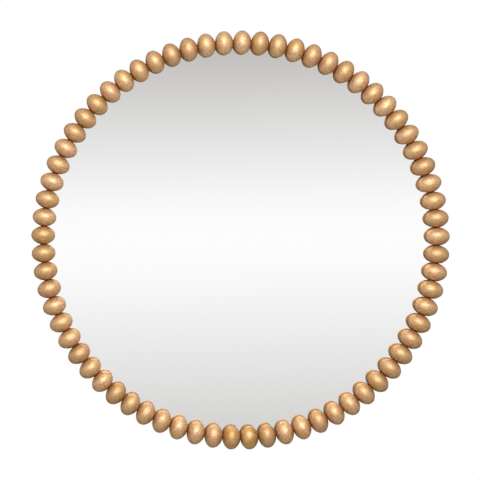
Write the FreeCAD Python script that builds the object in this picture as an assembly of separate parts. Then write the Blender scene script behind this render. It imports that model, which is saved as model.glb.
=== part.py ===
"""Round wall mirror: a ring of turned beads, strung on a steel rod, round a silvered glass.

Millimetres, +Z up. The glass faces -Y. The origin is on the mirror's axis, in the plane of the wall.
"""

import FreeCAD
import Part
import math
import os

from FreeCAD import Rotation, Vector

# Bead ring
overall_diameter = 762.0
bead_count = 69
beads_per_node = 3
bead_diameter = 43.0
bead_gap = 0.6  # between two neighbours, on the rod's centre line
bead_end_cut = 0.6  # turned off each end, which leaves a flat round the bore
bead_seat_depth = 0.5  # how much of a bead's back is planed off to seat it
rod_diameter = 8.0
rod_clearance = 0.15
rod_joint_gap = 0.4
rod_pin_diameter = 4.0
rod_pin_length = 30.0
rod_pin_clearance = 0.05

# Glass and what carries it
glass_thickness = 4.0
glass_edge_clearance = 0.5
glass_recess = 0.5  # glass front behind the bead seats
glass_seam = 0.6  # ground bevel that takes the sharpness off the edge
tape_thickness = 1.0
tape_width = 25.0
tape_margin = 30.0  # bare glass at the ends of each strip
tape_place_shares = (-0.72, -0.36, 0.0, 0.36, 0.72)  # of the glass radius, across the glass
board_thickness = 9.0
board_overlap = 5.0  # board and edge ring past the rod's centre line
edge_ring_inset = 4.0  # edge ring inside the rod's centre line
edge_ease = 1.2  # bevel on the outer edges of board and edge ring

# Screws into the beads
bead_screw_diameter = 3.5
bead_screw_head_diameter = 7.0
bead_screw_reach = 11.0  # depth in the bead
bead_screw_tip = 3.0
screw_hole_clearance = 0.1
pilot_clearance = 0.05
recess_width = 0.9
recess_length = 3.4
recess_depth = 1.0

# Hangers
hanger_spacing = 400.0
hanger_height = 150.0  # of the ring's pivot above the mirror's centre
strap_width = 16.0
strap_thickness = 1.2
ring_wire_diameter = 3.0
ring_inner_width = 24.0
ring_corner_radius = 4.0
ring_side_length = 3.0  # straight part of each side
ring_running_clearance = 0.08
ring_strap_clearance = 0.3  # between the hanging ring and the strap behind it
ring_screw_clearance = 1.5  # between the hanging ring and the first screw's head
hanger_screw_diameter = 3.5
hanger_screw_head_diameter = 6.4
hanger_screw_head_height = 2.2
hanger_screw_pitch = 14.0
hanger_screw_tip = 2.0
hanger_screw_reach_share = 0.72  # of the board's thickness
screw_dome_share = 0.4  # of a pan head's radius and height, taken off its rim

# Bumpers
bumper_base_diameter = 20.0
bumper_tip_diameter = 16.0
bumper_tip_ease = 0.8
bumper_inset = 40.0  # of a bumper's centre from the board's edge
bumper_wall_clearance = 0.7  # between the hangers and the wall

overrun = 2.0  # how far every cut runs past the face that it leaves

# Worked out from the above
bead_radius = bead_diameter / 2
ring_radius = (overall_diameter - bead_diameter) / 2
bead_step = 360 / bead_count
bead_length = 2 * ring_radius * math.sin(math.pi / bead_count) - bead_gap
bead_half = bead_length / 2
bead_nose = bead_half + bead_end_cut  # where the uncut outline would meet the string
rod_radius = rod_diameter / 2
rod_rise = ring_radius - math.sqrt(ring_radius**2 - bead_half**2)  # of the bent rod within one bead
bead_bore_radius = rod_radius + rod_rise + rod_clearance
seat_distance = bead_radius - bead_seat_depth

board_radius = ring_radius + board_overlap
edge_ring_inner = ring_radius - edge_ring_inset
edge_ring_thickness = tape_thickness + glass_thickness + glass_recess
glass_radius = edge_ring_inner - glass_edge_clearance

wire_radius = ring_wire_diameter / 2
loop_inner = wire_radius + ring_running_clearance
loop_outer = loop_inner + strap_thickness
pivot_height = strap_thickness + ring_strap_clearance + wire_radius  # above the board's back
bumper_height = pivot_height + loop_outer + bumper_wall_clearance
ring_half_width = ring_inner_width / 2 + wire_radius
ring_side_end = ring_corner_radius + ring_side_length
ring_drop = ring_side_end + ring_half_width + wire_radius
first_screw_drop = ring_drop + ring_screw_clearance + hanger_screw_head_diameter / 2
second_screw_drop = first_screw_drop + hanger_screw_pitch

back_y = -bumper_height
board_front_y = back_y - board_thickness
seat_y = board_front_y - edge_ring_thickness
bead_y = seat_y - seat_distance
pivot_y = back_y + pivot_height

ACROSS = Vector(1, 0, 0)
FRONT = Vector(0, -1, 0)
BACK = Vector(0, 1, 0)
UP = Vector(0, 0, 1)
CENTRE = Vector(0, 0, 0)


def turned(points):
    """Solid of revolution about Z from (radius, height) points."""
    corners = [Vector(radius, 0, height) for radius, height in points]
    outline = Part.makePolygon(corners + corners[:1])
    return Part.Face(outline).revolve(CENTRE, UP, 360)


def facing_front(shape, x, y, z):
    """Copy of a shape with its own Z turned to the front and its origin at x, y, z."""
    placed = shape.copy()
    placed.Placement = FreeCAD.Placement(Vector(x, y, z), Rotation(UP, FRONT))
    return placed


def bar(length, width, height, base):
    """Block centred on base in X and Z, running back from it in Y."""
    corner = base - ACROSS * (length / 2) - UP * (height / 2)
    return Part.makeBox(length, width, height, corner)


# Beads


def bead_profile():
    """Half of a bead's lengthwise section: a crown arc that runs smoothly into two shoulder arcs.

    The crown is as sharp as an ellipse's is there, and the shoulders are centred on the string.
    """
    shoulder_radius = bead_radius * (bead_radius + bead_nose) / (2 * bead_nose)
    centre = ACROSS * (bead_nose - shoulder_radius)
    along_share = (bead_radius + 2 * bead_nose) / (2 * bead_nose)
    outward_share = (bead_radius + bead_nose) / bead_radius
    to_touch = Vector(along_share, 0, outward_share).normalize()
    flat_radius = math.sqrt(shoulder_radius**2 - (bead_half - centre.x) ** 2)
    rim = Vector(bead_half, 0, flat_radius)
    to_middle = (rim - centre).normalize() + to_touch
    middle = centre + to_middle.normalize() * shoulder_radius
    touch = centre + to_touch * shoulder_radius
    shoulder = Part.Arc(rim, middle, touch).toShape()
    crown = Part.Arc(touch, UP * bead_radius, Vector(-touch.x, 0, touch.z)).toShape()
    corners = [Vector(-bead_half, 0, flat_radius), ACROSS * -bead_half, ACROSS * bead_half, rim]
    sides = [Part.makeLine(a, b) for a, b in zip(corners, corners[1:])]
    return Part.Face(Part.Wire(sides + [shoulder, crown, shoulder.mirror(CENTRE, ACROSS)]))


def make_bead(screwed):
    """Bead at the origin, strung along X, with its seat at the back."""
    body = bead_profile().revolve(CENTRE, ACROSS, 360)
    bore_start = ACROSS * -(bead_half + overrun)
    bore = Part.makeCylinder(bead_bore_radius, bead_length + 2 * overrun, bore_start, ACROSS)
    planed = bar(bead_length, bead_radius, bead_diameter, BACK * seat_distance)
    cuts = [bore, planed]
    if screwed:
        pilot_radius = bead_screw_diameter / 2 + pilot_clearance
        pilot_start = BACK * (seat_distance + overrun)
        pilot_depth = overrun + bead_screw_reach + pilot_clearance
        cuts.append(Part.makeCylinder(pilot_radius, pilot_depth, pilot_start, FRONT))
    return body.cut(cuts)


def ring_place(index):
    """Centre and turn of a place on the ring; place 0 is at the top, and they run clockwise."""
    angle = math.radians(index * bead_step)
    place = Vector(ring_radius * math.sin(angle), bead_y, ring_radius * math.cos(angle))
    return place, Rotation(BACK, index * bead_step)


def on_ring(shape, index):
    """Copy of a bead at its place on the ring."""
    placed = shape.copy()
    placed.Placement = FreeCAD.Placement(*ring_place(index))
    return placed


def bead_groups():
    """Places of the beads, in groups, and in each group the place of the bead that is screwed on."""
    before = beads_per_node // 2
    for start in range(0, bead_count, beads_per_node):
        places = range(start - before, min(start + beads_per_node, bead_count) - before)
        yield places, places[len(places) // 2]


def bead_nodes():
    """Beads in groups, one of each screwed to the board and its neighbours glued."""
    screwed = make_bead(True)
    glued = make_bead(False)
    nodes = {}
    for places, middle in bead_groups():
        beads = [on_ring(screwed if index == middle else glued, index) for index in places]
        nodes[f"beads_{len(nodes) + 1:02d}"] = Part.makeCompound(beads)
    return nodes


def bead_screw_places():
    """Where the screws into the beads stand, as (x, z)."""
    for places, middle in bead_groups():
        centre, turn = ring_place(middle)
        yield centre.x, centre.z


# Rod through the beads


def rod_joint():
    """Place of the rod's joint and the rod's direction there, inside the bead just left of the bottom."""
    place, turn = ring_place(bead_count // 2 + 1)
    return place, turn.multVec(ACROSS)


def pin_shape(clearance):
    """Pin, or with a clearance the hole for it, across the rod's joint."""
    place, along = rod_joint()
    length = rod_pin_length + 2 * clearance
    radius = rod_pin_diameter / 2 + clearance
    return Part.makeCylinder(radius, length, place - along * (length / 2), along)


def make_rod():
    place, along = rod_joint()
    section = Part.Face(Part.Wire(Part.makeCircle(rod_radius, place + along * (rod_joint_gap / 2), along)))
    sweep = 360 - math.degrees(rod_joint_gap / ring_radius)
    rod = section.revolve(Vector(0, bead_y, 0), BACK, sweep)
    return rod.cut(pin_shape(rod_pin_clearance))


# Glass, tape, board and edge ring


def make_glass():
    rim = glass_radius - glass_seam
    front = glass_thickness - glass_seam
    profile = [(0, 0), (rim, 0), (glass_radius, glass_seam), (glass_radius, front)]
    profile += [(rim, glass_thickness), (0, glass_thickness)]
    return facing_front(turned(profile), 0, board_front_y - tape_thickness, 0)


def make_tape():
    """Upright strips, each as long as the glass is there."""
    strips = []
    reach = glass_radius - tape_margin
    for share in tape_place_shares:
        place = share * glass_radius
        outer = abs(place) + tape_width / 2
        length = 2 * math.sqrt(reach**2 - outer**2)
        base = Vector(place, board_front_y - tape_thickness, 0)
        strips.append(bar(tape_width, tape_thickness, length, base))
    return Part.makeCompound(strips)


def bead_screw_holes():
    """Countersunk holes through board and edge ring."""
    head = bead_screw_head_diameter / 2 + screw_hole_clearance
    shank = bead_screw_diameter / 2 + screw_hole_clearance
    through = board_thickness + edge_ring_thickness + overrun
    profile = [(0, -overrun), (head, -overrun), (head, 0), (shank, head - shank)]
    profile += [(shank, through), (0, through)]
    hole = turned(profile)
    return [facing_front(hole, x, back_y, z) for x, z in bead_screw_places()]


def hanger_screw_places():
    """Where the hanger screws stand, as (x, z)."""
    for side in (-1, 1):
        for drop in (first_screw_drop, second_screw_drop):
            yield side * hanger_spacing / 2, hanger_height - drop


def make_board():
    rim = board_radius - edge_ease
    profile = [(0, 0), (rim, 0), (board_radius, edge_ease)]
    profile += [(board_radius, board_thickness), (0, board_thickness)]
    board = facing_front(turned(profile), 0, back_y, 0)
    pilot_radius = hanger_screw_diameter / 2 + pilot_clearance
    pilot_depth = board_thickness * hanger_screw_reach_share + pilot_clearance + overrun
    pilots = []
    for x, z in hanger_screw_places():
        mouth = Vector(x, back_y + overrun, z)
        pilots.append(Part.makeCylinder(pilot_radius, pilot_depth, mouth, FRONT))
    return board.cut(bead_screw_holes() + pilots)


def make_edge_ring():
    rim = board_radius - edge_ease
    front = edge_ring_thickness - edge_ease
    profile = [(edge_ring_inner, 0), (board_radius, 0), (board_radius, front)]
    profile += [(rim, edge_ring_thickness), (edge_ring_inner, edge_ring_thickness)]
    ring = facing_front(turned(profile), 0, board_front_y, 0)
    return ring.cut(bead_screw_holes())


# Screws


def cross_recess():
    """Cross slot in the top of a screw head that lies at height 0 and points up the Z axis."""
    depth = recess_depth + overrun
    low = UP * -overrun
    slots = []
    for length, width in ((recess_length, recess_width), (recess_width, recess_length)):
        corner = low - ACROSS * (length / 2) - BACK * (width / 2)
        slots.append(Part.makeBox(length, width, depth, corner))
    return slots


def make_bead_screws():
    head = bead_screw_head_diameter / 2
    shank = bead_screw_diameter / 2
    length = board_thickness + edge_ring_thickness + bead_screw_reach
    profile = [(0, 0), (head, 0), (shank, head - shank), (shank, length - bead_screw_tip), (0, length)]
    screw = turned(profile).cut(cross_recess())
    return Part.makeCompound([facing_front(screw, x, back_y, z) for x, z in bead_screw_places()])


def make_hanger_screws():
    head = hanger_screw_head_diameter / 2
    height = hanger_screw_head_height
    shank = hanger_screw_diameter / 2
    end = height + strap_thickness + board_thickness * hanger_screw_reach_share
    dome = screw_dome_share
    profile = [(0, 0), (head * (1 - dome), 0), (head, height * dome), (head, height), (shank, height)]
    profile += [(shank, end - hanger_screw_tip), (0, end)]
    screw = turned(profile).cut(cross_recess())
    top = back_y + strap_thickness + height
    return Part.makeCompound([facing_front(screw, x, top, z) for x, z in hanger_screw_places()])


# Hangers


def make_strap(x):
    """Folded strap: a plate with a round end, and a loop round the ring's straight side."""
    pivot = Vector(x, pivot_y, hanger_height)
    plate_corner = Vector(x - strap_width / 2, back_y, hanger_height - second_screw_drop)
    plate = Part.makeBox(strap_width, strap_thickness, second_screw_drop, plate_corner)
    end_centre = Vector(x, back_y, hanger_height - second_screw_drop)
    end = Part.makeCylinder(strap_width / 2, strap_thickness, end_centre, BACK)
    loop = Part.makeCylinder(loop_outer, strap_width, pivot - ACROSS * (strap_width / 2), ACROSS)
    eye_length = strap_width + 2 * overrun
    eye = Part.makeCylinder(loop_inner, eye_length, pivot - ACROSS * (eye_length / 2), ACROSS)
    hole_radius = hanger_screw_diameter / 2 + screw_hole_clearance
    cuts = [eye]
    for drop in (first_screw_drop, second_screw_drop):
        mouth = Vector(x, back_y - overrun, hanger_height - drop)
        cuts.append(Part.makeCylinder(hole_radius, strap_thickness + 2 * overrun, mouth, BACK))
    return plate.fuse([end, loop]).removeSplitter().cut(cuts)


def make_ring(x):
    """D-shaped wire ring that hangs from its straight side."""
    pivot = Vector(x, pivot_y, hanger_height)
    inset = ring_half_width - ring_corner_radius
    bow_centre = pivot - UP * ring_side_end

    def rod_piece(start, end):
        return Part.makeCylinder(wire_radius, (end - start).Length, start, end - start)

    def bend(start, heading, centre, turn):
        section = Part.Face(Part.Wire(Part.makeCircle(wire_radius, start, heading)))
        return section.revolve(centre, BACK, turn)

    pieces = [rod_piece(pivot - ACROSS * inset, pivot + ACROSS * inset)]
    for side in (-1, 1):
        corner = pivot + ACROSS * (side * inset)
        knee = pivot + ACROSS * (side * ring_half_width) - UP * ring_corner_radius
        foot = pivot + ACROSS * (side * ring_half_width) - UP * ring_side_end
        pieces.append(bend(corner, ACROSS, corner - UP * ring_corner_radius, side * 90))
        pieces.append(rod_piece(knee, foot))
        pieces.append(bend(foot, UP, bow_centre, side * 90))
    return pieces[0].fuse(pieces[1:]).removeSplitter()


# Bumpers


def make_bumpers():
    tip = bumper_tip_diameter / 2
    base = bumper_base_diameter / 2
    profile = [(0, 0), (tip - bumper_tip_ease, 0), (tip, bumper_tip_ease)]
    profile += [(base, bumper_height), (0, bumper_height)]
    bumper = turned(profile)
    reach = (board_radius - bumper_inset) * math.sqrt(0.5)
    places = [(across * reach, up * reach) for across in (-1, 1) for up in (-1, 1)]
    return Part.makeCompound([facing_front(bumper, x, 0, z) for x, z in places])


def main():
    nodes = bead_nodes()
    nodes["bead_rod"] = make_rod()
    nodes["rod_pin"] = pin_shape(0)
    nodes["mirror_glass"] = make_glass()
    nodes["mirror_tape"] = make_tape()
    nodes["back_board"] = make_board()
    nodes["edge_ring"] = make_edge_ring()
    nodes["bead_screws"] = make_bead_screws()
    nodes["hanger_screws"] = make_hanger_screws()
    nodes["wall_bumpers"] = make_bumpers()
    for name, side in (("left", -1), ("right", 1)):
        nodes[f"hanger_strap_{name}"] = make_strap(side * hanger_spacing / 2)
        nodes[f"hanger_ring_{name}"] = make_ring(side * hanger_spacing / 2)
    os.makedirs("parts", exist_ok=True)
    for name, shape in nodes.items():
        shape.exportStep(f"parts/{name}.step")
        print(name, len(shape.Solids), shape.isValid(), round(shape.Volume, 1))


main()
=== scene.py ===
"""Round wall mirror in a ring of antique gold beads: bead meshes, finishes, light and camera.

Metres, +Z up. The glass faces -Y, and the wall that the mirror hangs on is the plane y = 0.
"""

import math

import bpy
import numpy as np
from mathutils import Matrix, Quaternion, Vector


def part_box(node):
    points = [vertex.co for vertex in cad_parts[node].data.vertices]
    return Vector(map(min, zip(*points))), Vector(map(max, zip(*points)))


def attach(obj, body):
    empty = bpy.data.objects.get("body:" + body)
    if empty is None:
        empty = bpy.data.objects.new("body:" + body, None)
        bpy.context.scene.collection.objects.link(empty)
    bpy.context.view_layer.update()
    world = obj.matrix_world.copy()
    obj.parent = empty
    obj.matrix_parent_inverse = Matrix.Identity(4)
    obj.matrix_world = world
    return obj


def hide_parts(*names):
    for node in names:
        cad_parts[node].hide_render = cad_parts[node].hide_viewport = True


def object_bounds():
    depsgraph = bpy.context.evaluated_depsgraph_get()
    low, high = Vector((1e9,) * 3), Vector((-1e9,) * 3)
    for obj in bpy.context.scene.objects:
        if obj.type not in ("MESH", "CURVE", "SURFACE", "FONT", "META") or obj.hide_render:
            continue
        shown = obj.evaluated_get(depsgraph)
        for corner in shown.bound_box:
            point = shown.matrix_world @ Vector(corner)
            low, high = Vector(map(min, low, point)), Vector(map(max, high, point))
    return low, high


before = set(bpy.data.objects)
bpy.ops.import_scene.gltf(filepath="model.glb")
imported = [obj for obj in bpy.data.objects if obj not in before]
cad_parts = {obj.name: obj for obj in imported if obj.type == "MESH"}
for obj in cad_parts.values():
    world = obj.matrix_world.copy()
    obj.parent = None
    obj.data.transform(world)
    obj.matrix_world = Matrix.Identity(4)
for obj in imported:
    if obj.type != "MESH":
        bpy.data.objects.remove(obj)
cad_low, cad_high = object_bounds()

MM = 0.001

# Beads, as the solids have them
bead_count = 69
beads_per_node = 3
bead_radius = 21.5 * MM
bead_gap = 0.6 * MM
bead_end_cut = 0.6 * MM
bead_bore_radius = 4.5 * MM
bead_seat_depth = 0.5 * MM

# Points of a bead's mesh, along its outline and round it
outline_steps = 44
round_steps = 88

# How far hand work strays from a true bead, with the tilt in radians
dent_depth = 0.16 * MM
dent_waves = range(2, 8)
tilt_spread = 0.006
slip_spread = 0.08 * MM
draw_seed = 69

# Ochre wear of single beads, counted clockwise from the top one, and of all the others
worn_beads = {34: 1.0, 35: 0.85, 31: 0.5, 3: 0.45, 20: 0.4, 52: 0.5, 60: 0.4, 12: 0.35}
common_wear = 0.12

# Gold leaf, and the shades that lie over it with the most that each covers
leaf_tones = (0.772, 0.486, 0.316), (0.72, 0.506, 0.278)
drift_tone, drift_share = (0.70, 0.41, 0.245), 0.5
hue_tone, hue_share = (0.67, 0.462, 0.215), 0.4
dark_tone, dark_share = (0.52, 0.318, 0.155), 0.75
mottle_tone, mottle_share = (0.40, 0.215, 0.092), 0.65
line_tone, line_share = (0.30, 0.15, 0.055), 0.14
speck_tone, speck_share = (0.30, 0.145, 0.045), 0.35
ochre_tone, ochre_share = (0.46, 0.25, 0.05), 0.8
# Brown behind each bead: painted shade on its limbs and on the backs that the glass shows
back_shade_tone, back_shade_share = (0.22, 0.115, 0.045), 0.5
# Brown glaze in the necks, made darker as painted shade between the beads
neck_glaze_and_shade_tone = (0.29, 0.095, 0.005)

# Where the browns begin and are full, and how ragged they are: behind a bead in millimetres from its centre,
# and in its necks in shares of its half length. The brown behind is painted shade on the limbs and backs;
# the brown in the necks is glaze deepened into painted shade
back_shade_span, back_shade_raggedness = (2.0, 8.0), 3.0
neck_span, neck_raggedness = (0.85, 1.02), 0.06
neck_roughening = 0.15

# How far the gold's pattern, in millimetres, and its hue shift from the lightest bead to the darkest
pattern_shift = 90.0
hue_shift = 57.0

# Pairs of colours between which the other finishes vary
silver_tones = (0.985, 0.987, 0.985), (0.977, 0.98, 0.978)
ground_edge_tones = (0.20, 0.33, 0.28), (0.34, 0.46, 0.41)
backing_tones = (0.20, 0.21, 0.22), (0.26, 0.27, 0.28)
black_board_tones = (0.008, 0.0075, 0.007), (0.026, 0.024, 0.022)
brown_edge_tones = (0.045, 0.021, 0.008), (0.075, 0.038, 0.016)
zinc_tones = (0.57, 0.58, 0.585), (0.41, 0.42, 0.42)
nickel_tones = (0.60, 0.57, 0.51), (0.42, 0.40, 0.355)
bronze_tones = (0.055, 0.024, 0.007), (0.12, 0.055, 0.018)
rubber_tones = (0.018, 0.018, 0.018), (0.05, 0.048, 0.045)
foam_tones = (0.55, 0.55, 0.52), (0.78, 0.78, 0.75)
floor_tones = (0.80, 0.80, 0.80), (0.83, 0.83, 0.83)
white = (1, 1, 1)

# Camera, with angles in degrees
camera_azimuth = -3.6
camera_elevation = 1.3
camera_distance = 6.5
camera_roll = 0.264
view_width = 0.8725
aim_offset = Vector((-2.3 * MM, 0, 0.6 * MM))

# Light
key_place = Vector((-0.1, -2.1, 1.15))
key_size = (2.0, 1.5)
key_power = 75.0
fill_level = 0.12

# Floor, and the shares of its radius between which it fades to white
floor_drop = 1.5
floor_radius = 6.0
floor_sides = 128
floor_glow = 0.4
fade_start_share, fade_end_share = 0.3, 0.95

# Card that the glass shows, with its tilt in degrees
card_distance = 8.0
card_half_width = 3.0
card_low, card_high = -1.5, 1.5
card_tilt = 1.2
card_stops = 15

# Brightness of the card by the height at which the glass shows it: full in a band, then falling per metre
bright_low, bright_high = -0.034, 0.041
fall_below, fall_above = 1.07, 1.52
warmth, warm_below_level = 0.2, 0.8

bead_nodes = sorted(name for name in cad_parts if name.startswith("beads_"))
bead_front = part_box(bead_nodes[0])[0].y
ring_radius = cad_high.z - bead_radius
bead_y = bead_front + bead_radius
bead_half = ring_radius * math.sin(math.pi / bead_count) - bead_gap / 2
bead_nose = bead_half + bead_end_cut
ring_centre = Vector((0, bead_y, 0))

draws = np.random.default_rng(draw_seed)


class Finish:
    """A material with a principled shader, and short ways to add nodes to it."""

    def __init__(self, name, **constants):
        self.material = bpy.data.materials.new(name)
        self.material.use_nodes = True
        self.tree = self.material.node_tree
        self.shader = self.tree.nodes["Principled BSDF"]
        for socket, value in constants.items():
            self.shader.inputs[socket.replace("_", " ")].default_value = value

    def add(self, kind, inputs=None, **settings):
        node = self.tree.nodes.new("ShaderNode" + kind)
        for name, value in settings.items():
            setattr(node, name, value)
        for socket, value in (inputs or {}).items():
            self.feed(node.inputs[socket], value)
        return node

    def feed(self, socket, value):
        """Link an output to a socket, or set the socket's own value."""
        if isinstance(value, bpy.types.NodeSocket):
            self.tree.links.new(value, socket)
        elif isinstance(value, tuple) and len(value) == 3 and socket.type == "RGBA":
            socket.default_value = (*value, 1)
        else:
            socket.default_value = value

    def set(self, socket, value):
        self.feed(self.shader.inputs[socket], value)

    def show(self, surface):
        """Put a shader on the surface in place of the principled one."""
        self.tree.links.new(surface, self.tree.nodes["Material Output"].inputs["Surface"])

    def glow(self, colour):
        return self.add("Emission", {"Color": colour, "Strength": 1.0}).outputs[0]

    def place(self):
        return self.add("TexCoord").outputs["Object"]

    def attribute(self, name, output):
        return self.add("Attribute", attribute_name=name).outputs[output]

    def component(self, vector, axis):
        return self.add("SeparateXYZ", {0: vector}).outputs[axis]

    def stretched(self, vector, scale, shift=(0, 0, 0)):
        mapping = self.add("Mapping", {"Vector": vector, "Scale": scale, "Location": shift})
        return mapping.outputs["Vector"]

    def moved(self, vector, offset):
        return self.add("VectorMath", {0: vector, 1: offset}, operation="ADD").outputs[0]

    def noise(self, vector, scale=1.0, detail=3.0, roughness=0.55, distortion=0.0):
        inputs = {"Vector": vector, "Scale": scale, "Detail": detail}
        inputs |= {"Roughness": roughness, "Distortion": distortion}
        return self.add("TexNoise", inputs).outputs["Fac"]

    def cells(self, vector, scale, feature):
        texture = self.add("TexVoronoi", {"Vector": vector, "Scale": scale}, feature=feature)
        return texture.outputs["Distance"]

    def span(self, value, low, high, to_low=0.0, to_high=1.0):
        """Value carried smoothly from one span to another, and held at its ends."""
        inputs = {"Value": value, "From Min": low, "From Max": high, "To Min": to_low, "To Max": to_high}
        return self.add("MapRange", inputs, interpolation_type="SMOOTHSTEP").outputs["Result"]

    def sum(self, first, second, operation="ADD"):
        return self.add("Math", {0: first, 1: second}, operation=operation).outputs[0]

    def times(self, first, second):
        return self.sum(first, second, "MULTIPLY")

    def blend(self, factor, first, second):
        # The node has sockets of several kinds under one name, and these are its colours
        node = self.add("Mix", {0: factor, 6: first, 7: second}, data_type="RGBA")
        return node.outputs[2]

    def layered(self, colour, layers):
        """Colour with others laid over it, each by its share."""
        for share, shade in layers:
            colour = self.blend(share, colour, shade)
        return colour

    def relief(self, height, depth, strength=1.0, under=None):
        """Bump of a height that runs from 0 to 1 over a depth."""
        inputs = {"Height": height, "Distance": depth, "Strength": strength}
        if under is not None:
            inputs["Normal"] = under
        return self.add("Bump", inputs).outputs["Normal"]


def shaded(colour, by):
    """Colour made lighter or darker by a factor."""
    return tuple(by * part for part in colour)


# Finishes: a scale is in features per metre, or per millimetre within a bead


def gold_leaf():
    """Gold leaf in warm and pale patches, mottled, lined and specked, worn to ochre in places.

    It is brown behind the beads, as painted shade on their limbs and backs, and in the necks between them,
    as a glaze deepened into painted shade. Each bead has its own tone.
    """
    finish = Finish("gold_leaf", Specular_Tint=(0, 0, 0, 1), Specular_IOR_Level=0.25)
    local = finish.attribute("bead_local", "Vector")
    tone = finish.attribute("bead_tone", "Fac")
    worn = finish.attribute("bead_worn", "Fac")
    along = finish.attribute("bead_along", "Fac")
    shift = finish.add("CombineXYZ", {0: finish.times(tone, pattern_shift)}).outputs[0]
    own = finish.moved(local, shift)

    patches = finish.noise(own, scale=0.085, roughness=0.6, distortion=0.4)
    drift = finish.noise(finish.moved(own, offset=(7, 3, 1)), scale=0.05, detail=2.0)
    hue_inputs = {"W": finish.times(tone, hue_shift), "Scale": 1.0}
    hue = finish.add("TexNoise", hue_inputs, noise_dimensions="1D").outputs["Fac"]
    blotched = finish.stretched(own, scale=(0.36, 0.2, 0.2), shift=(2, 9, 4))
    mottle = finish.noise(blotched, detail=4.0, roughness=0.65)
    lines = finish.noise(finish.stretched(own, scale=(2.4, 0.16, 0.16)), roughness=0.6)
    grain = finish.noise(own, scale=1.5, detail=4.0, roughness=0.65)
    specks = finish.noise(own, scale=0.75, roughness=0.7)
    rubbed = finish.span(finish.noise(own, scale=0.07), low=0.42, high=0.62, to_high=ochre_share)
    depth = finish.sum(finish.component(local, "Y"), finish.times(grain, back_shade_raggedness))
    neck = finish.span(finish.sum(along, finish.times(grain, neck_raggedness)), *neck_span)

    layers = (
        (finish.span(drift, low=0.4, high=0.62, to_high=drift_share), drift_tone),
        (finish.span(hue, low=0.35, high=0.65, to_low=hue_share, to_high=0.0), hue_tone),
        (finish.times(tone, dark_share), dark_tone),
        (finish.span(mottle, low=0.42, high=0.66, to_high=mottle_share), mottle_tone),
        (finish.span(lines, low=0.3, high=0.7, to_low=line_share, to_high=0.0), line_tone),
        (finish.span(specks, low=0.62, high=0.76, to_high=speck_share), speck_tone),
        (finish.times(worn, rubbed), ochre_tone),
        # Painted shade: brown behind each bead darkens its limbs and backs
        (finish.span(depth, *back_shade_span, to_high=back_shade_share), back_shade_tone),
        # Necks: brown glaze, deepened into painted shade between the beads
        (neck, neck_glaze_and_shade_tone),
    )
    leaf = finish.blend(finish.span(patches, low=0.36, high=0.64), *leaf_tones)
    finish.set("Base Color", finish.layered(leaf, layers))
    finish.set("Metallic", finish.span(neck, low=0.0, high=1.0, to_low=0.8, to_high=0.1))
    rough = finish.span(grain, low=0.3, high=0.7, to_low=0.52, to_high=0.60)
    finish.set("Roughness", finish.sum(rough, finish.times(neck, neck_roughening)))
    surface = finish.relief(lines, depth=0.04 * MM)
    finish.set("Normal", finish.relief(grain, depth=0.05 * MM, under=surface))
    return finish.material


def silvered_glass():
    """Clear glass, silvered behind: a mirror in front, a green ground edge and grey backing paint."""
    finish = Finish("silvered_glass")
    place = finish.place()
    facing = finish.component(finish.add("NewGeometry").outputs["Normal"], "Y")
    edge = finish.span(facing, low=-0.95, high=-0.8)
    back = finish.span(facing, low=0.8, high=0.95)
    silver = finish.blend(finish.noise(place, scale=9.0), *silver_tones)
    ground = finish.blend(finish.noise(place, scale=900.0), *ground_edge_tones)
    paint = finish.blend(finish.noise(place, scale=240.0), *backing_tones)
    finish.set("Base Color", finish.layered(silver, ((edge, ground), (back, paint))))
    finish.set("Metallic", finish.sum(1.0, edge, "SUBTRACT"))
    finish.set("Roughness", finish.span(edge, low=0.0, high=1.0, to_low=0.006, to_high=0.35))
    return finish.material


def painted_board(name, tones, smoothest, roughest):
    """Brush-painted fibreboard: thin and thick paint, brush strokes, flecks of dust and rubbed places."""
    finish = Finish(name)
    place = finish.place()
    fibres = finish.noise(place, scale=900.0, detail=4.0, roughness=0.7)
    clouds = finish.noise(place, scale=9.0, detail=4.0, roughness=0.6)
    brushed = finish.stretched(place, scale=(9, 9, 260))
    strokes = finish.noise(brushed, detail=4.0, roughness=0.65, distortion=0.3)
    flecks = finish.noise(place, scale=330.0, roughness=0.7)
    rubbed = finish.noise(place, scale=22.0, detail=6.0, roughness=0.75)
    worn = shaded(tones[1], by=3.2)
    layers = (
        (finish.span(strokes, low=0.35, high=0.72, to_high=0.75), worn),
        (finish.span(rubbed, low=0.56, high=0.74, to_high=0.6), worn),
        (finish.span(flecks, low=0.64, high=0.72, to_high=0.5), shaded(worn, by=2.0)),
    )
    paint = finish.blend(finish.span(clouds, low=0.35, high=0.65), *tones)
    finish.set("Base Color", finish.layered(paint, layers))
    streaks = finish.sum(strokes, clouds)
    finish.set("Roughness", finish.span(streaks, low=0.7, high=1.3, to_low=smoothest, to_high=roughest))
    surface = finish.relief(strokes, depth=0.12 * MM)
    finish.set("Normal", finish.relief(fibres, depth=0.04 * MM, under=surface))
    return finish.material


def plated_steel(name, tones, smoothest, roughest):
    """Plated steel: cloudy plating, fine scratches and a little tarnish."""
    finish = Finish(name, Metallic=1.0)
    place = finish.place()
    clouds = finish.noise(place, scale=160.0, detail=4.0, roughness=0.6)
    scratches = finish.noise(finish.stretched(place, scale=(260, 260, 5200)), roughness=0.7)
    spots = finish.noise(place, scale=520.0, detail=4.0, roughness=0.7)
    tarnish = finish.span(spots, low=0.62, high=0.75, to_high=0.4)
    plating = finish.blend(finish.span(clouds, low=0.3, high=0.7), *tones)
    finish.set("Base Color", finish.blend(tarnish, plating, shaded(tones[1], by=0.45)))
    uneven = finish.sum(clouds, scratches)
    finish.set("Roughness", finish.span(uneven, low=0.7, high=1.3, to_low=smoothest, to_high=roughest))
    finish.set("Normal", finish.relief(scratches, depth=0.02 * MM, strength=0.5))
    return finish.material


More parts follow.
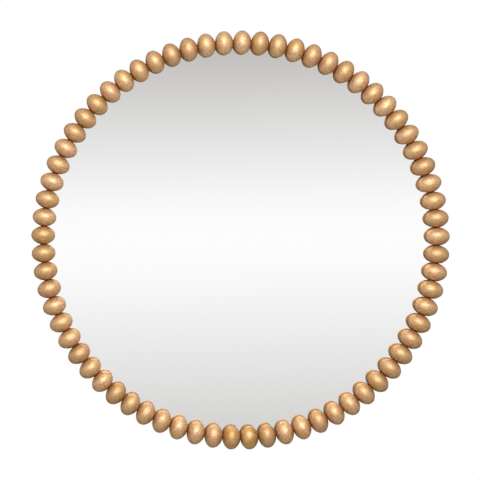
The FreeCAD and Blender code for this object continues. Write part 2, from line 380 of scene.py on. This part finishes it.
def bronze_paint():
    """Matt dark bronze paint in uneven tones."""
    finish = Finish("bronze_paint")
    place = finish.place()
    clouds = finish.noise(place, scale=90.0, detail=4.0)
    finish.set("Base Color", finish.blend(clouds, *bronze_tones))
    finish.set("Roughness", finish.span(clouds, low=0.3, high=0.7, to_low=0.42, to_high=0.6))
    grain = finish.noise(place, scale=1400.0)
    finish.set("Normal", finish.relief(grain, depth=0.04 * MM, strength=0.5))
    return finish.material


def rubber():
    """Matt black rubber with a fine moulded grain and a little dust."""
    finish = Finish("rubber", Specular_IOR_Level=0.35)
    place = finish.place()
    dust = finish.noise(place, scale=120.0, detail=4.0, roughness=0.65)
    finish.set("Base Color", finish.blend(finish.span(dust, low=0.45, high=0.75), *rubber_tones))
    finish.set("Roughness", finish.span(dust, low=0.3, high=0.7, to_low=0.6, to_high=0.8))
    grain = finish.cells(place, scale=1500.0, feature="F1")
    finish.set("Normal", finish.relief(grain, depth=0.06 * MM, strength=0.5))
    return finish.material


def foam():
    """White closed-cell foam."""
    finish = Finish("foam", Roughness=0.85)
    cells = finish.cells(finish.place(), scale=1800.0, feature="DISTANCE_TO_EDGE")
    finish.set("Base Color", finish.blend(finish.span(cells, low=0.0, high=0.2), *foam_tones))
    finish.set("Normal", finish.relief(cells, depth=0.1 * MM, strength=0.6))
    return finish.material


def dress_nodes():
    """Give every solid that stays in sight its finish."""
    zinc = plated_steel("zinc", zinc_tones, smoothest=0.26, roughest=0.46)
    nickel = plated_steel("nickel", nickel_tones, smoothest=0.20, roughest=0.40)
    finishes = {
        "bead_rod": bronze_paint(),
        "rod_pin": zinc,
        "mirror_glass": silvered_glass(),
        "mirror_tape": foam(),
        "back_board": painted_board("black_board", black_board_tones, smoothest=0.54, roughest=0.78),
        "edge_ring": painted_board("brown_edge", brown_edge_tones, smoothest=0.43, roughest=0.67),
        "bead_screws": zinc,
        "hanger_screws": zinc,
        "wall_bumpers": rubber(),
        "hanger_strap_left": nickel,
        "hanger_strap_right": nickel,
        "hanger_ring_left": nickel,
        "hanger_ring_right": nickel,
    }
    for node, finish in finishes.items():
        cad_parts[node].material_slots[0].material = finish


# Beads


def bead_outline():
    """Points (along, outward) of a bead's closed section, and how far each outer point may be dented.

    The outer line is three tangent arcs: a crown between two shoulders. The two last points are on the bore.
    """
    crown = bead_nose**2 / bead_radius
    shoulder = bead_radius * (bead_radius + bead_nose) / (2 * bead_nose)
    shoulder_x = bead_nose - shoulder
    rise = (bead_radius + bead_nose) / bead_radius
    reach = (bead_radius + 2 * bead_nose) / (2 * bead_nose)
    run_in = math.atan2(rise, reach)
    rim = math.acos((bead_half - shoulder_x) / shoulder)
    turn = np.linspace(rim, math.pi - rim, outline_steps)
    right = turn < run_in
    left = turn > math.pi - run_in
    side = right | left
    radius = np.where(side, shoulder, crown)
    x = radius * np.cos(turn) + shoulder_x * right - shoulder_x * left
    z = radius * np.sin(turn) + np.where(side, 0, bead_radius - crown)
    dent = np.sin(math.pi * np.linspace(0, 1, outline_steps)) ** 2
    x = np.append(x, (-bead_half, bead_half))
    z = np.append(z, (bead_bore_radius, bead_bore_radius))
    return x, z, np.append(dent, (0, 0))


def bead_points():
    """Grid of points of one bead about its own centre, strung along X.

    It has shallow dents and a flat seat behind, and it never stands out in front of the true bead.
    """
    x, z, dent = bead_outline()
    turn = np.linspace(0, 2 * math.pi, round_steps, endpoint=False)
    sweep = np.linspace(0, math.pi, len(x))
    height = np.zeros((len(x), round_steps))
    for wave in dent_waves:
        phase, lean = draws.uniform(0, 2 * math.pi, 2)
        height += np.cos(wave * turn[None, :] + phase + lean * sweep[:, None]) * draws.normal() / wave
    radius = z[:, None] + dent_depth * dent[:, None] * height
    points = np.empty((len(x), round_steps, 3))
    points[..., 0] = x[:, None]
    points[..., 1] = radius * np.sin(turn)
    points[..., 2] = radius * np.cos(turn)
    points[..., 1] *= min(1, -bead_radius / points[..., 1].min())
    points[..., 1] = np.minimum(points[..., 1], bead_radius - bead_seat_depth)
    return points


def placed_bead(points, place):
    """Points of a bead at its place on the ring; place 0 is at the top, and they run clockwise."""
    angle = place * 2 * math.pi / bead_count
    lean = draws.normal() * tilt_spread
    slip = draws.normal() * slip_spread
    outward = np.array((math.sin(angle), 0, math.cos(angle)))
    tilted = angle + lean
    axes = np.array(
        (
            (math.cos(tilted), 0, -math.sin(tilted)),
            (0, 1, 0),
            (math.sin(tilted), 0, math.cos(tilted)),
        )
    )
    return np.array(ring_centre) + ring_radius * outward + slip * axes[0] + points @ axes


def grid_faces(rows, columns, start):
    """Quads of a grid that closes on itself both ways, with its first point's number."""
    row, column = np.meshgrid(np.arange(rows), np.arange(columns), indexing="ij")
    below = (row + 1) % rows
    beside = (column + 1) % columns
    corners = ((row, column), (row, beside), (below, beside), (below, column))
    return start + np.stack([(down * columns + across).ravel() for down, across in corners], axis=1)


def store(mesh, name, values):
    """Keep a number or a vector for each point of a mesh."""
    kind, field = ("FLOAT", "value") if values.ndim == 1 else ("FLOAT_VECTOR", "vector")
    attribute = mesh.attributes.new(name, kind, "POINT")
    attribute.data.foreach_set(field, values.astype(np.float32).ravel())


def make_beads(node, number, finish):
    """The beads of one node as one piece, with the values that their finish reads."""
    spots, faces = [], []
    values = {"bead_local": [], "bead_tone": [], "bead_worn": [], "bead_along": []}
    first = number * beads_per_node - 1
    for place in range(first, first + beads_per_node):
        points = bead_points()
        flat = points.reshape(-1, 3)
        faces.append(grid_faces(*points.shape[:2], start=sum(map(len, spots))))
        spots.append(placed_bead(points, place).reshape(-1, 3))
        values["bead_local"].append(flat / MM)
        values["bead_tone"].append(np.full(len(flat), draws.uniform()))
        values["bead_worn"].append(np.full(len(flat), worn_beads.get(place % bead_count, common_wear)))
        values["bead_along"].append(np.abs(flat[:, 0]) / bead_half)
    mesh = bpy.data.meshes.new(f"gold_{node}")
    mesh.from_pydata(np.concatenate(spots).tolist(), [], np.concatenate(faces).tolist())
    mesh.shade_smooth()
    for name, parts in values.items():
        store(mesh, name, np.concatenate(parts))
    mesh.materials.append(finish)
    piece = bpy.data.objects.new(f"gold_{node}", mesh)
    bpy.context.scene.collection.objects.link(piece)
    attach(piece, "mirror")
    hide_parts(node)


# Stage, light and camera


def seen_directly(tree):
    """Output that is 1 for rays from the camera, or by way of a mirror or glass, and 0 for cast light."""
    path = tree.nodes.new("ShaderNodeLightPath")
    result = path.outputs["Is Camera Ray"]
    for name in ("Is Glossy Ray", "Is Transmission Ray"):
        either = tree.nodes.new("ShaderNodeMath")
        either.operation = "MAXIMUM"
        tree.links.new(result, either.inputs[0])
        tree.links.new(path.outputs[name], either.inputs[1])
        result = either.outputs[0]
    return result


def make_world():
    """White surroundings that cast only a soft fill light."""
    world = bpy.data.worlds.new("studio")
    bpy.context.scene.world = world
    world.use_nodes = True
    tree = world.node_tree
    background = tree.nodes["Background"]
    background.inputs["Color"].default_value = (*white, 1)
    level = tree.nodes.new("ShaderNodeMapRange")
    level.inputs["To Min"].default_value = fill_level
    tree.links.new(seen_directly(tree), level.inputs["Value"])
    tree.links.new(level.outputs["Result"], background.inputs["Strength"])


def make_floor():
    """Pale floor well below the mirror, which fades to white at its rim."""
    bpy.ops.mesh.primitive_circle_add(
        vertices=floor_sides, radius=floor_radius, fill_type="NGON", location=(0, 0, -floor_drop)
    )
    floor = bpy.context.object
    floor.name = "floor"
    finish = Finish("floor", Roughness=0.7)
    place = finish.place()
    finish.set("Base Color", finish.blend(finish.noise(place, scale=40.0), *floor_tones))
    reach = finish.add("VectorMath", {0: place}, operation="LENGTH").outputs["Value"]
    fade_start, fade_end = fade_start_share * floor_radius, fade_end_share * floor_radius
    fade = finish.span(reach, fade_start, fade_end, to_low=floor_glow)
    fade = finish.times(fade, seen_directly(finish.tree))
    mix = finish.add("MixShader", {0: fade, 1: finish.shader.outputs[0], 2: finish.glow(white)})
    finish.show(mix.outputs[0])
    floor.data.materials.append(finish.material)


def card_shade(glass_height):
    """Share of the card's height that the glass shows at a height on its face, and the colour there."""
    eye_height = camera_distance * math.sin(math.radians(camera_elevation))
    height = glass_height + (glass_height - eye_height) * card_distance / camera_distance
    above, below = max(0, glass_height - bright_high), max(0, bright_low - glass_height)
    level = 1 - fall_above * above - fall_below * below
    warm = warmth * max(0, warm_below_level - level)
    colour = (level, level * (1 - warm / 2), level * (1 - warm), 1)
    return (height - card_low) / (card_high - card_low), colour


def make_card():
    """Grey card far in front, seen only in reflections: bright at the middle, darker above and below."""
    left, right = -card_half_width, card_half_width
    corners = [(left, 0, card_low), (right, 0, card_low), (right, 0, card_high), (left, 0, card_high)]
    mesh = bpy.data.meshes.new("card")
    mesh.from_pydata(corners, [], [(0, 1, 2, 3)])
    card = bpy.data.objects.new("card", mesh)
    card.location = (-card_distance * math.sin(math.radians(camera_azimuth)), -card_distance, 0)
    card.rotation_euler.y = -math.radians(card_tilt)
    bpy.context.scene.collection.objects.link(card)
    finish = Finish("card")
    height = finish.component(finish.place(), "Z")
    share = finish.add("MapRange", {"Value": height, "From Min": card_low, "From Max": card_high})
    ramp = finish.add("ValToRGB", {"Fac": share.outputs["Result"]})
    ramp.color_ramp.interpolation = "B_SPLINE"
    stops = ramp.color_ramp.elements
    for index, glass_height in enumerate(np.linspace(-cad_high.z, cad_high.z, card_stops).tolist()):
        position, colour = card_shade(glass_height)
        stop = stops[index] if index < len(stops) else stops.new(position)
        stop.position = position
        stop.color = colour
    finish.show(finish.glow(ramp.outputs["Color"]))
    mesh.materials.append(finish.material)
    card.visible_camera = False
    card.visible_diffuse = False
    card.visible_shadow = False


def make_key():
    """Large soft lamp in front and above, turned to the mirror."""
    light = bpy.data.lights.new("key", "AREA")
    light.shape = "RECTANGLE"
    light.size, light.size_y = key_size
    light.energy = key_power
    lamp = bpy.data.objects.new("key", light)
    lamp.location = key_place
    lamp.rotation_euler = (ring_centre - key_place).to_track_quat("-Z", "Y").to_euler()
    bpy.context.scene.collection.objects.link(lamp)


def make_camera():
    """Long lens almost square to the glass."""
    camera = bpy.data.cameras.new("camera")
    camera.lens = camera.sensor_width * camera_distance / view_width
    holder = bpy.data.objects.new("camera", camera)
    azimuth, elevation = math.radians(camera_azimuth), math.radians(camera_elevation)
    level = math.cos(elevation)
    back = Vector((math.sin(azimuth) * level, -math.cos(azimuth) * level, math.sin(elevation)))
    holder.location = ring_centre + back * camera_distance + aim_offset
    aim = (-back).to_track_quat("-Z", "Y")
    holder.rotation_euler = (aim @ Quaternion((0, 0, 1), math.radians(camera_roll))).to_euler()
    bpy.context.scene.collection.objects.link(holder)
    bpy.context.scene.camera = holder


gold = gold_leaf()
for number, node in enumerate(bead_nodes):
    make_beads(node, number, gold)
dress_nodes()
make_world()
make_floor()
make_card()
make_key()
make_camera()
bpy.context.scene.view_settings.view_transform = "Standard"
